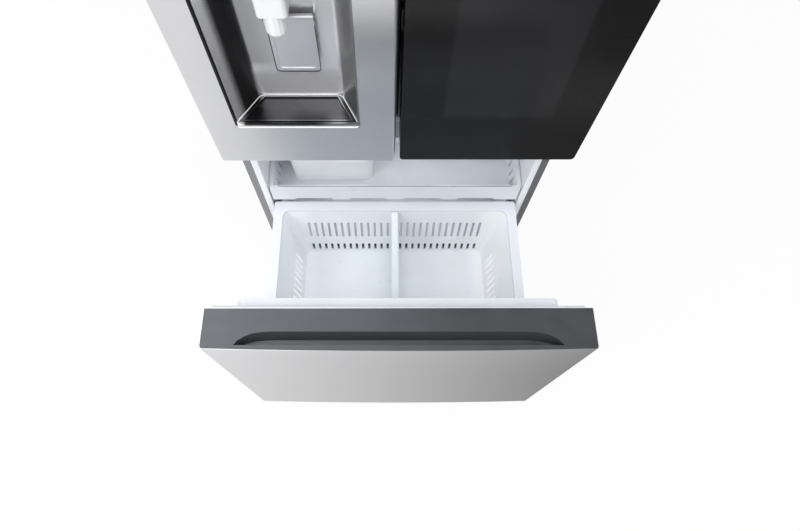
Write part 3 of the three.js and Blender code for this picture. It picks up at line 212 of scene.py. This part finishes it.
bpy.context.scene.world = studio_world()
floor()
dark_card("floor_card", ((-0.9, -0.92), (1.9, -0.6)), CARD_LIFT, fade=(-0.85, 0.8), darkness=0.82)
dark_card("mid_card", ((-0.9, -1.2), (1.9, -0.92)), CARD_LIFT, fade=(-0.6, 1.0), darkness=0.5)
dark_card("side_card", ((0.47, -0.6), (1.9, 0.2)), CARD_LIFT, fade=(0.1, 0.5), darkness=0.88)
dark_card("far_card", ((0.5, -2.4), (2.6, -1.2)), CARD_LIFT, fade=(0.4, 1.0), darkness=0.9)
dark_card("sky_card", ((-1.4, -1.4), (2.4, 1.2)), SKY_CARD_HEIGHT, fade=(-1.2, 1.0), darkness=0.95)

# ---- Making of materials ----------------------------------------------------------------

ALONG_X = (0.02, 1.0, 1.0)  # a noise's stretch, for a grain that runs along one axis
ALONG_Z = (1.0, 1.0, 0.02)
NOISE_RANGE = (0.3, 0.7)  # where most of a noise's values lie
MIX_COLOURS = (6, 7)  # a Mix node's inputs for two colours
MIX_RESULT = 2


def tone(r, g, b):
    """An 8-bit screen colour as a linear one."""
    linear = []
    for part in (r, g, b):
        part /= 255.0
        linear.append(part / 12.92 if part <= 0.04045 else ((part + 0.055) / 1.055) ** 2.4)
    return (*linear, 1.0)


def scaled(colour, factor):
    return (*[min(1.0, part * factor) for part in colour[:3]], 1.0)


class Look:
    """A material whose colour, roughness and relief come from fields over the CAD's frame."""

    def __init__(self, name, colour, roughness, metallic=0.0, **sockets):
        self.name = name
        self.colour = colour
        self.roughness = roughness
        self.material = bpy.data.materials.new(name)
        self.material.use_nodes = True
        self.tree = self.material.node_tree
        self.shader = self.tree.nodes["Principled BSDF"]
        self.shader.inputs["Metallic"].default_value = metallic
        for key, value in sockets.items():
            self.shader.inputs[key.replace("_", " ")].default_value = value
        self.place = self.node("ShaderNodeTexCoord").outputs["Object"]
        self.normal = None

    def link(self, start, end):
        self.tree.links.new(start, end)

    def node(self, kind, **values):
        made = self.tree.nodes.new(kind)
        for key, value in values.items():
            setattr(made, key, value)
        return made

    def along(self, axis):
        """The place along an axis."""
        axes = self.node("ShaderNodeSeparateXYZ")
        self.link(self.place, axes.inputs[0])
        return axes.outputs[axis]

    def noise(self, scale, detail=3.0, stretch=(1.0, 1.0, 1.0)):
        """A noise field from 0 to 1, drawn out along an axis whose stretch is below 1."""
        mapping = self.node("ShaderNodeMapping")
        mapping.inputs["Scale"].default_value = stretch
        self.link(self.place, mapping.inputs["Vector"])
        made = self.node("ShaderNodeTexNoise")
        made.inputs["Scale"].default_value = scale
        made.inputs["Detail"].default_value = detail
        self.link(mapping.outputs[0], made.inputs["Vector"])
        return made.outputs[0]

    def away(self, field, middle):
        """How far the field is from a number."""
        offset = self.node("ShaderNodeMath", operation="SUBTRACT")
        self.link(field, offset.inputs[0])
        offset.inputs[1].default_value = middle
        size = self.node("ShaderNodeMath", operation="ABSOLUTE")
        self.link(offset.outputs[0], size.inputs[0])
        return size.outputs[0]

    def product(self, first, *others):
        """Fields multiplied: 1 where all of them are 1."""
        for other in others:
            both = self.node("ShaderNodeMath", operation="MULTIPLY")
            self.link(first, both.inputs[0])
            self.link(other, both.inputs[1])
            first = both.outputs[0]
        return first

    def ramp(self, field, start, end, to=(0.0, 1.0), kind="LINEAR"):
        """The field, mapped so that what runs from start to end there runs over another range."""
        made = self.node("ShaderNodeMapRange", interpolation_type=kind)
        made.inputs["From Min"].default_value = start
        made.inputs["From Max"].default_value = end
        made.inputs["To Min"].default_value, made.inputs["To Max"].default_value = to
        self.link(field, made.inputs["Value"])
        return made.outputs[0]

    def blend(self, share, *colours):
        """A mix of two colours, each a colour or a socket, by a field."""
        made = self.node("ShaderNodeMix", data_type="RGBA")
        self.link(share, made.inputs[0])
        for index, colour in zip(MIX_COLOURS, colours):
            if isinstance(colour, tuple):
                made.inputs[index].default_value = colour
            else:
                self.link(colour, made.inputs[index])
        return made.outputs[MIX_RESULT]

    def paint(self, colour):
        self.link(colour, self.shader.inputs["Base Color"])

    def tint(self, field, darker, lighter):
        """Colour that varies with the field, by factors."""
        ends = [scaled(self.colour, factor) for factor in (darker, lighter)]
        self.paint(self.blend(self.ramp(field, *NOISE_RANGE), *ends))

    def dull(self, field, by):
        """Roughness that varies with the field, to both sides of the look's own."""
        spread = (self.roughness - by, self.roughness + by)
        self.link(self.ramp(field, *NOISE_RANGE, to=spread), self.shader.inputs["Roughness"])

    def relief(self, field, depth, strength=1.0):
        """Bumps from the field, on top of those laid before."""
        bump = self.node("ShaderNodeBump")
        bump.inputs["Distance"].default_value = depth
        bump.inputs["Strength"].default_value = strength
        self.link(field, bump.inputs["Height"])
        if self.normal:
            self.link(self.normal, bump.inputs["Normal"])
        self.normal = bump.outputs[0]
        self.link(self.normal, self.shader.inputs["Normal"])

    def zone(self, colour, *steps):
        """Another colour past every step. A step goes from start to end along an axis."""
        past = [
            self.ramp(self.along(axis), start, end, kind="SMOOTHSTEP") for axis, start, end in steps
        ]
        base = self.shader.inputs["Base Color"].links[0].from_socket
        self.paint(self.blend(self.product(*past), base, colour))


# ---- Metals -----------------------------------------------------------------------------


def stainless(name):
    """Brushed steel with a fine grain from side to side and faint handling marks."""
    look = Look(name, tone(221, 221, 223), 0.30, metallic=1.0, Anisotropic=0.6)
    grain = look.noise(900.0, detail=2.0, stretch=ALONG_X)
    look.tint(grain, darker=0.985, lighter=1.015)
    look.dull(look.noise(220.0, stretch=ALONG_X), by=0.02)
    look.relief(grain, depth=0.00001)
    look.relief(look.noise(1.6, detail=1.0), depth=0.0004, strength=0.15)
    return look


def tray_metal(name):
    """The drip tray's brushed metal, with a painted highlight along its rim."""
    look = Look(name, tone(88, 88, 91), 0.3, metallic=1.0)
    grain = look.noise(900.0, detail=2.0, stretch=ALONG_X)
    look.tint(grain, darker=0.97, lighter=1.03)
    look.dull(look.noise(220.0, stretch=ALONG_X), by=0.03)
    look.relief(grain, depth=0.00001)
    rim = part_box("drip_tray")[1][Z]
    # painted highlight: a paler band along the rim's top edge
    look.zone(tone(165, 165, 167), (Z, rim - 0.0011, rim - 0.0007))
    return look


def paddle_metal(name):
    """Smooth satin metal."""
    look = Look(name, tone(230, 230, 232), 0.3, metallic=1.0)
    look.tint(look.noise(20.0), darker=0.985, lighter=1.01)
    look.dull(look.noise(60.0), by=0.02)
    look.relief(look.noise(1800.0, detail=2.0), depth=0.000004)
    return look


def recess_metal(name):
    """Dark glossy recess walls, with a grey back and zones of painted light and shade on them."""
    look = Look(name, tone(54, 54, 56), 0.25, metallic=0.75)
    look.tint(look.noise(900.0, detail=2.0, stretch=ALONG_Z), darker=0.985, lighter=1.015)
    look.dull(look.noise(60.0), by=0.02)
    look.relief(look.noise(1800.0, detail=2.0), depth=0.000003)
    on_back = (Y, -0.099, -0.0786)
    off_left_wall = (X, -0.333, -0.322)
    look.zone(tone(128, 128, 130), (X, -0.200, -0.150))  # painted light on the right wall
    look.zone(tone(250, 250, 251), (X, -0.354, -0.368))  # painted highlight on the left wall, towards the front
    look.zone(tone(40, 40, 42), (X, -0.3742, -0.3752))  # the rim in front of it
    look.zone(tone(160, 160, 162), on_back, off_left_wall)  # grey back, darker on its left by painted shade
    look.zone(tone(236, 236, 238), on_back, (X, -0.320, -0.225))  # painted light on its right part
    look.zone(tone(244, 244, 246), on_back, off_left_wall, (Z, 0.945, 0.910))  # painted light on its foot
    look.zone(tone(215, 215, 216), (Y, -0.1575, -0.1585), (Z, 0.8345, 0.8335))  # painted highlight on the sill
    return look


def galvanised(name):
    """Zinc-coated sheet with its large crystals and dull patches."""
    look = Look(name, tone(176, 180, 183), 0.42, metallic=0.9)
    cells = look.node("ShaderNodeTexVoronoi")
    cells.inputs["Scale"].default_value = 140.0
    look.link(look.place, cells.inputs["Vector"])
    pale = look.node("ShaderNodeSeparateColor")
    look.link(cells.outputs["Color"], pale.inputs[0])
    look.tint(pale.outputs[0], darker=0.93, lighter=1.03)
    look.dull(look.noise(40.0, detail=4.0), by=0.06)
    look.relief(look.noise(240.0), depth=0.00005)
    return look


def painted(name, colour, roughness, metallic=0.0):
    """Powder coat with its orange peel."""
    look = Look(name, colour, roughness, metallic)
    look.tint(look.noise(7.0), darker=0.985, lighter=1.012)
    look.dull(look.noise(30.0, detail=4.0), by=0.02)
    look.relief(look.noise(620.0, detail=2.0), depth=0.00003)
    return look


# ---- Plastics and glass -----------------------------------------------------------------


def moulded(name, colour, roughness, grain_depth=0.00003, **sockets):
    """Injection-moulded plastic: a fine etched skin, slow sink waves and small gloss changes."""
    look = Look(name, colour, roughness, **sockets)
    look.tint(look.noise(9.0), darker=0.97, lighter=1.02)
    look.dull(look.noise(24.0, detail=4.0), by=0.05)
    look.relief(look.noise(1400.0, detail=2.0), depth=grain_depth)
    look.relief(look.noise(5.0, detail=2.0), depth=0.0004, strength=0.3)
    return look


def milky(name, colour):
    """Moulded plastic that lets a little light in."""
    return moulded(name, colour, 0.32, Subsurface_Weight=0.08, Subsurface_Scale=0.01)


def basket_plastic(name):
    """Milky plastic with painted light: palest on the side walls, a little darker on the rim."""
    look = milky(name, tone(238, 241, 245))
    # painted light on the side walls
    for side, wall in ((1, tone(253, 254, 255)), (-1, tone(248, 251, 255))):
        look.zone(wall, (X, side * 0.26, side * 0.33))
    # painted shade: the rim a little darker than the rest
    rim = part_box("basket")[1][Z]
    look.zone(tone(228, 232, 238), (Z, rim - 0.008, rim - 0.004))
    return look


def freezer_plastic(name):
    """White sheet plastic, paler where the room's light falls on side walls and front flange."""
    look = moulded(name, tone(222, 226, 231), 0.38)
    for side in (1, -1):
        look.zone(tone(244, 246, 249), (X, side * 0.400, side * 0.409), (Y, 0.14, 0.04))
    return look


def foam(name):
    """Insulation foam with its coarse cells."""
    look = Look(name, tone(230, 217, 168), 0.9)
    look.tint(look.noise(60.0, detail=5.0), darker=0.85, lighter=1.06)
    look.dull(look.noise(50.0, detail=4.0), by=0.05)
    look.relief(look.noise(500.0, detail=4.0), depth=0.0006)
    return look


def clear_glass(name):
    """Slightly wavy clear glass, for the shelves and the window's pane."""
    look = Look(name, tone(226, 238, 240), 0.03, Transmission_Weight=0.92, IOR=1.5)
    look.tint(look.noise(6.0, detail=2.0), darker=0.97, lighter=1.02)
    look.dull(look.noise(18.0, detail=4.0), by=0.015)
    look.relief(look.noise(4.0, detail=2.0), depth=0.0003, strength=0.2)
    return look


def printed_glass(name):
    """Black glass, printed on the inside round a smoke-grey window with soft edges."""
    look = Look(name, tone(25, 25, 26), 0.16, IOR=1.3)
    lap, softness = 0.003, 0.004  # the pane laps over the window all round
    low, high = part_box("right_door_window")
    within = []
    for axis in (X, Z):
        middle, half = (low[axis] + high[axis]) / 2, (high[axis] - low[axis]) / 2 - lap
        away = look.away(look.along(axis), middle)
        within.append(look.ramp(away, half + softness, half - softness))
    cloud = look.ramp(look.noise(5.0), *NOISE_RANGE)
    printed = look.blend(cloud, tone(22, 22, 23), tone(27, 27, 28))
    look.paint(look.blend(look.product(*within), printed, tone(34, 34, 36)))
    look.dull(look.noise(18.0, detail=4.0), by=0.02)
    look.relief(look.noise(2.5, detail=2.0), depth=0.0006, strength=0.15)
    return look


# ---- Looks of the CAD nodes -------------------------------------------------------------

LOOKS = {
    look.name: look.material
    for look in (
        # one for each material slot of the record
        painted("cabinet_grey", tone(146, 147, 150), 0.38, metallic=0.65),
        foam("foam"),
        galvanised("zinc_steel"),
        stainless("stainless"),
        painted("door_frame", tone(70, 71, 73), 0.4, metallic=0.4),
        printed_glass("black_glass"),
        clear_glass("clear_glass"),
        moulded("liner_white", tone(222, 226, 231), 0.38),
        milky("frosted_plastic", tone(238, 241, 245)),
        moulded("divider_grey", tone(226, 233, 241), 0.4),
        moulded("seal_grey", tone(214, 218, 221), 0.62, grain_depth=0.00005),
        moulded("cap_grey", tone(90, 93, 97), 0.36, metallic=0.6),
        recess_metal("dispenser_dark"),
        moulded("black_plastic", tone(34, 34, 35), 0.42),
        moulded("spout_silver", tone(226, 227, 228), 0.35),
        painted("compressor_black", tone(30, 30, 31), 0.38),
        # of single nodes
        tray_metal("tray_metal"),
        paddle_metal("paddle_metal"),
        moulded("bin_white", tone(246, 248, 250), 0.38),
        moulded("inner_white", tone(223, 227, 233), 0.38),
        basket_plastic("basket_white"),
        milky("tray_white", tone(226, 230, 236)),
        freezer_plastic("freezer_white"),
        # of beads of painted highlight and shade
        moulded("painted_highlight_white", tone(250, 250, 250), 0.2, metallic=0.2),
        moulded("painted_shadow_grey", tone(122, 125, 132), 0.3, metallic=0.4),
    )
}

OWN_LOOK = {  # nodes that don't look as their material slot does
    "freezer_liner": "freezer_white",
    "basket": "basket_white",
    "freezer_tray": "tray_white",
    "drip_tray": "tray_metal",
    "dispenser_paddle": "paddle_metal",
    "ice_bin": "bin_white",
    "drawer_liner": "inner_white",
}

for part in frame["record"]["subparts"]:
    carrier = frame["nodes"][part["node"]]
    carrier.data.materials.clear()
    carrier.data.materials.append(LOOKS[OWN_LOOK.get(part["node"], part["material_slot"])])

# ---- Softened edges ---------------------------------------------------------------------

PLAIN_EDGE = 0.0004  # radius where no other is named
EDGE = {
    "left_door_skin": 0.0010,
    "drawer_skin": 0.0010,
    "drawer_cap": 0.0014,
    "left_door_liner": 0.0012,
    "right_door_liner": 0.0012,
    "drawer_liner": 0.0012,
    "basket": 0.0008,
    "freezer_tray": 0.0008,
    "ice_bin": 0.0009,
    "dispenser_housing": 0.0010,
    "dispenser_paddle": 0.0012,
    "kick_grille": 0.0008,
    "top_hinge_left": 0.0015,
    "top_hinge_right": 0.0015,
}
SHARP = math.radians(32)  # a fold above this is an edge; below it is a facet of a round form

for name, carrier in frame["nodes"].items():
    bevel = carrier.modifiers.new("edge", "BEVEL")
    bevel.width = EDGE.get(name, PLAIN_EDGE)
    bevel.segments = 2
    bevel.limit_method = "ANGLE"
    bevel.angle_limit = SHARP
    bevel.harden_normals = True

# ---- Making of pieces -------------------------------------------------------------------


def piece(name, verts, faces, body, look, smooth=False):
    """A mesh that rides on a body, with its faces turned outward."""
    mesh = bpy.data.meshes.new(name)
    mesh.from_pydata(verts, [], faces)
    shell = bmesh.new()
    shell.from_mesh(mesh)
    bmesh.ops.recalc_face_normals(shell, faces=shell.faces)
    for face in shell.faces:
        face.smooth = smooth
    shell.to_mesh(mesh)
    shell.free()
    mesh.materials.append(LOOKS[look])
    made = placed(name, mesh)
    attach(made, body)
    return made


def bands(rings, sides, closed=False, first=0):
    """The faces between rings of points, each with so many sides, from the first point on."""
    faces = []
    for i in range(rings if closed else rings - 1):
        a, b = first + sides * i, first + sides * ((i + 1) % rings)
        for j in range(sides):
            k = (j + 1) % sides
            faces.append((a + j, a + k, b + k, b + j))
    return faces


CORNER_STEPS = 5


def rounded_path(corners, bends, closed=False):
    """Points along straight lines, with each corner rounded by its bend. Open ends stay."""
    corners = [Vector(corner) for corner in corners]
    path = []
    for i, (corner, bend) in enumerate(zip(corners, bends)):
        if not closed and i in (0, len(corners) - 1):
            path.append(corner)
            continue
        before, after = corners[i - 1], corners[(i + 1) % len(corners)]
        start = corner + (before - corner).normalized() * bend
        end = corner + (after - corner).normalized() * bend
        for t in (step / CORNER_STEPS for step in range(CORNER_STEPS + 1)):
            path.append((1 - t) ** 2 * start + 2 * t * (1 - t) * corner + t**2 * end)
    return path


BEAD_SIDES = 8
BEAD_END = ((0.7, 0.7), (0.98, 0.2))  # how far out and how wide its rings are, in radii
UPWARD = Vector((0.0, 0.0, 1.0))
BACKWARD = Vector((0.0, 1.0, 0.0))


def bead_end(ring, way):
    """The rings that round off an open end of a bead, from its last full one outward."""
    at, along, side, up, radius = ring
    return [(at + way * out * radius * along, along, side, up, wide * radius)
            for out, wide in BEAD_END]


def bead(name, path, radius, body, look, closed=False, upright=UPWARD):
    """A round bead swept along a path, with rounded ends where the path is open."""
    rings = []
    for i, at in enumerate(path):
        ahead = path[(i + 1) % len(path)] if closed or i + 1 < len(path) else at
        behind = path[i - 1] if closed or i > 0 else at
        along = (ahead - behind).normalized()
        side = along.cross(upright).normalized()
        rings.append((at, along, side, side.cross(along).normalized(), radius))
    if not closed:
        rings = [*reversed(bead_end(rings[0], -1)), *rings, *bead_end(rings[-1], 1)]
    verts = []
    for at, _, side, up, size in rings:
        for j in range(BEAD_SIDES):
            angle = 2 * math.pi * j / BEAD_SIDES
            verts.append(at + side * math.cos(angle) * size + up * math.sin(angle) * size)
    faces = bands(len(rings), BEAD_SIDES, closed)
    if not closed:
        last = len(verts) - BEAD_SIDES
        faces += [tuple(range(BEAD_SIDES)), tuple(range(last, len(verts)))]
    piece(name, verts, faces, body, look, smooth=True)


# ---- Screws of the back -----------------------------------------------------------------

SCREW_SIDES = 12  # a round washer, or a hexagon with a corner at every second point
SCREW_INSET = 0.0118  # from a sheet's side edges
WASHER = 0.0062  # radius
HALF_FLATS = 0.0036  # from a hex head's middle to its flats


def screw_spots(node, heights, across, row):
    """Places down both sides of a sheet on the back, and across it in a row at a height."""
    _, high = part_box(node)
    x = high[X] - SCREW_INSET
    sides = [(side * x, high[Y], z) for side in (1, -1) for z in heights]
    return [*sides, *((x, high[Y], row) for x in across)]


def screws(name, spots, body):
    """Hex heads with a washer face, driven into a back that faces +Y."""
    corner = 1 / math.cos(math.pi / 6)
    rings = [  # distance out, radius at even points, radius at odd points
        (0.0, WASHER, WASHER),
        (0.0006, WASHER, WASHER),
        (0.0011, 0.84 * WASHER, 0.84 * WASHER),
        (0.0011, HALF_FLATS, HALF_FLATS * corner),
        (0.0036, HALF_FLATS, HALF_FLATS * corner),
        (0.0041, 0.86 * HALF_FLATS, 0.86 * HALF_FLATS * corner),
    ]
    verts, faces = [], []
    for x, y, z in spots:
        first = len(verts)
        for out, *radii in rings:
            for j in range(SCREW_SIDES):
                angle, radius = 2 * math.pi * j / SCREW_SIDES, radii[j % 2]
                verts.append((x + radius * math.cos(angle), y + out, z + radius * math.sin(angle)))
        faces += bands(len(rings), SCREW_SIDES, first=first)
        for end in (first, len(verts) - SCREW_SIDES):
            faces.append(tuple(range(end, end + SCREW_SIDES)))
    piece(name, verts, faces, body, "zinc_steel")


PANEL_SPOTS = screw_spots("back_panel", (0.32, 0.67, 1.02, 1.37, 1.7), (-0.22, 0.0, 0.22), 1.725)
COVER_SPOTS = screw_spots("machine_cover", (0.062, 0.268), (0.0,), 0.274)
screws("panel_screws", PANEL_SPOTS, "cabinet")
screws("cover_screws", COVER_SPOTS, "cabinet")

# ---- Door seals -------------------------------------------------------------------------

SEAL_MIDDLE = 0.009
SEAL_HALF = [  # from the foot to the magnet strip: distance from the middle, share of the depth
    (0.0060, 0.00),
    (0.0060, 0.10),
    (0.0040, 0.20),
    (0.0076, 0.36),
    (0.0044, 0.52),
    (0.0080, 0.68),
    (0.0090, 0.74),
    (0.0090, 0.95),
    (0.0082, 1.00),
    (0.0008, 1.00),
]
SEAL_GROOVE = 0.95  # share of the depth at the middle of the magnet strip
SEAL_CORNERS = 4


def gasket(name, node, body):
    """A magnetic door seal: a foot in the door's groove, two bellows folds and a magnet strip."""
    (x0, y0, z0), (x1, y1, z1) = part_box(node)
    section = [
        *((SEAL_MIDDLE + out, depth) for out, depth in SEAL_HALF),
        (SEAL_MIDDLE, SEAL_GROOVE),
        *((SEAL_MIDDLE - out, depth) for out, depth in reversed(SEAL_HALF)),
    ]
    verts = []
    for inset, depth in section:
        y = y0 + depth * (y1 - y0)
        left, right, low, high = x0 + inset, x1 - inset, z0 + inset, z1 - inset
        verts += [(left, y, low), (right, y, low), (right, y, high), (left, y, high)]
    faces = bands(len(section), SEAL_CORNERS, closed=True)
    made = piece(name, verts, faces, body, "seal_grey")
    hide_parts(node)


gasket("gasket_left", "left_door_seal", "left_door")
gasket("gasket_right", "right_door_seal", "right_door")
gasket("gasket_drawer", "drawer_seal", "freezer_drawer")

# ---- Beads of painted highlight and shade -----------------------------------------------

RECESS_FRONT = (-0.377, -0.093)  # left and right side of the dispenser's recess
RECESS_BACK = (-0.327, -0.134)
RECESS_FLOOR = 0.828


def recess_bead():
    """The near-white bead along the recess's sill and round its floor, a painted highlight line."""
    door_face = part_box("left_door_skin")[0][Y]
    corners = [  # side that it follows, distance inward, depth, rise and bend
        (RECESS_FRONT, 0.0005, -0.0026, 0.0010, 0.004),
        (RECESS_FRONT, 0.0022, 0.0020, 0.0132, 0.004),
        (RECESS_BACK, 0.0002, 0.0813, 0.0148, 0.012),
    ]
    left, right = [], []
    for side, inward, depth, rise, _ in corners:
        y, z = door_face + depth, RECESS_FLOOR + rise
        left.append((side[0] + inward, y, z))
        right.append((side[1] - inward, y, z))
    bends = [corner[-1] for corner in corners]
    path = rounded_path([*left, *reversed(right)], [*bends, *reversed(bends)], closed=True)
    # painted highlight: the bead's near-white stands for light along the sill
    bead("recess_bead", path, 0.0012, "left_door", "painted_highlight_white", closed=True)


def paddle_shade_line():
    """A dark bead round the paddle's plate, open at the top: painted shade for the gap round it."""
    low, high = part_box("dispenser_paddle")
    pin, proud = 0.0035, 0.0004  # the pins' reach beyond the plate, and the shade line's
    left, right = low[X] + pin - proud, high[X] - pin + proud
    foot, top = low[Z] - proud, high[Z] - 0.023
    y = (low[Y] + high[Y]) / 2 - 0.0036
    corners = [(left, y, top), (left, y, foot), (right, y, foot), (right, y, top)]
    path = rounded_path(corners, [0.010] * len(corners))
    bead("paddle_shade_line", path, 0.0009, "dispenser_paddle", "black_plastic",
         upright=BACKWARD)


def tray_shadow_line():
    """A grey bead along the freezer tray's front rim, turned back at both ends: a painted shadow
    line.
    """
    low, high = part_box("freezer_tray")
    side, z = high[X] - 0.0285, high[Z] + 0.0008
    front, back = low[Y] + 0.0035, low[Y] + 0.0170
    corners = [(-side, back, z), (-side, front, z), (side, front, z), (side, back, z)]
    path = rounded_path(corners, [0.008] * len(corners))
    bead("tray_shadow_line", path, 0.0011, "freezer_tray", "painted_shadow_grey")


recess_bead()
paddle_shade_line()
tray_shadow_line()
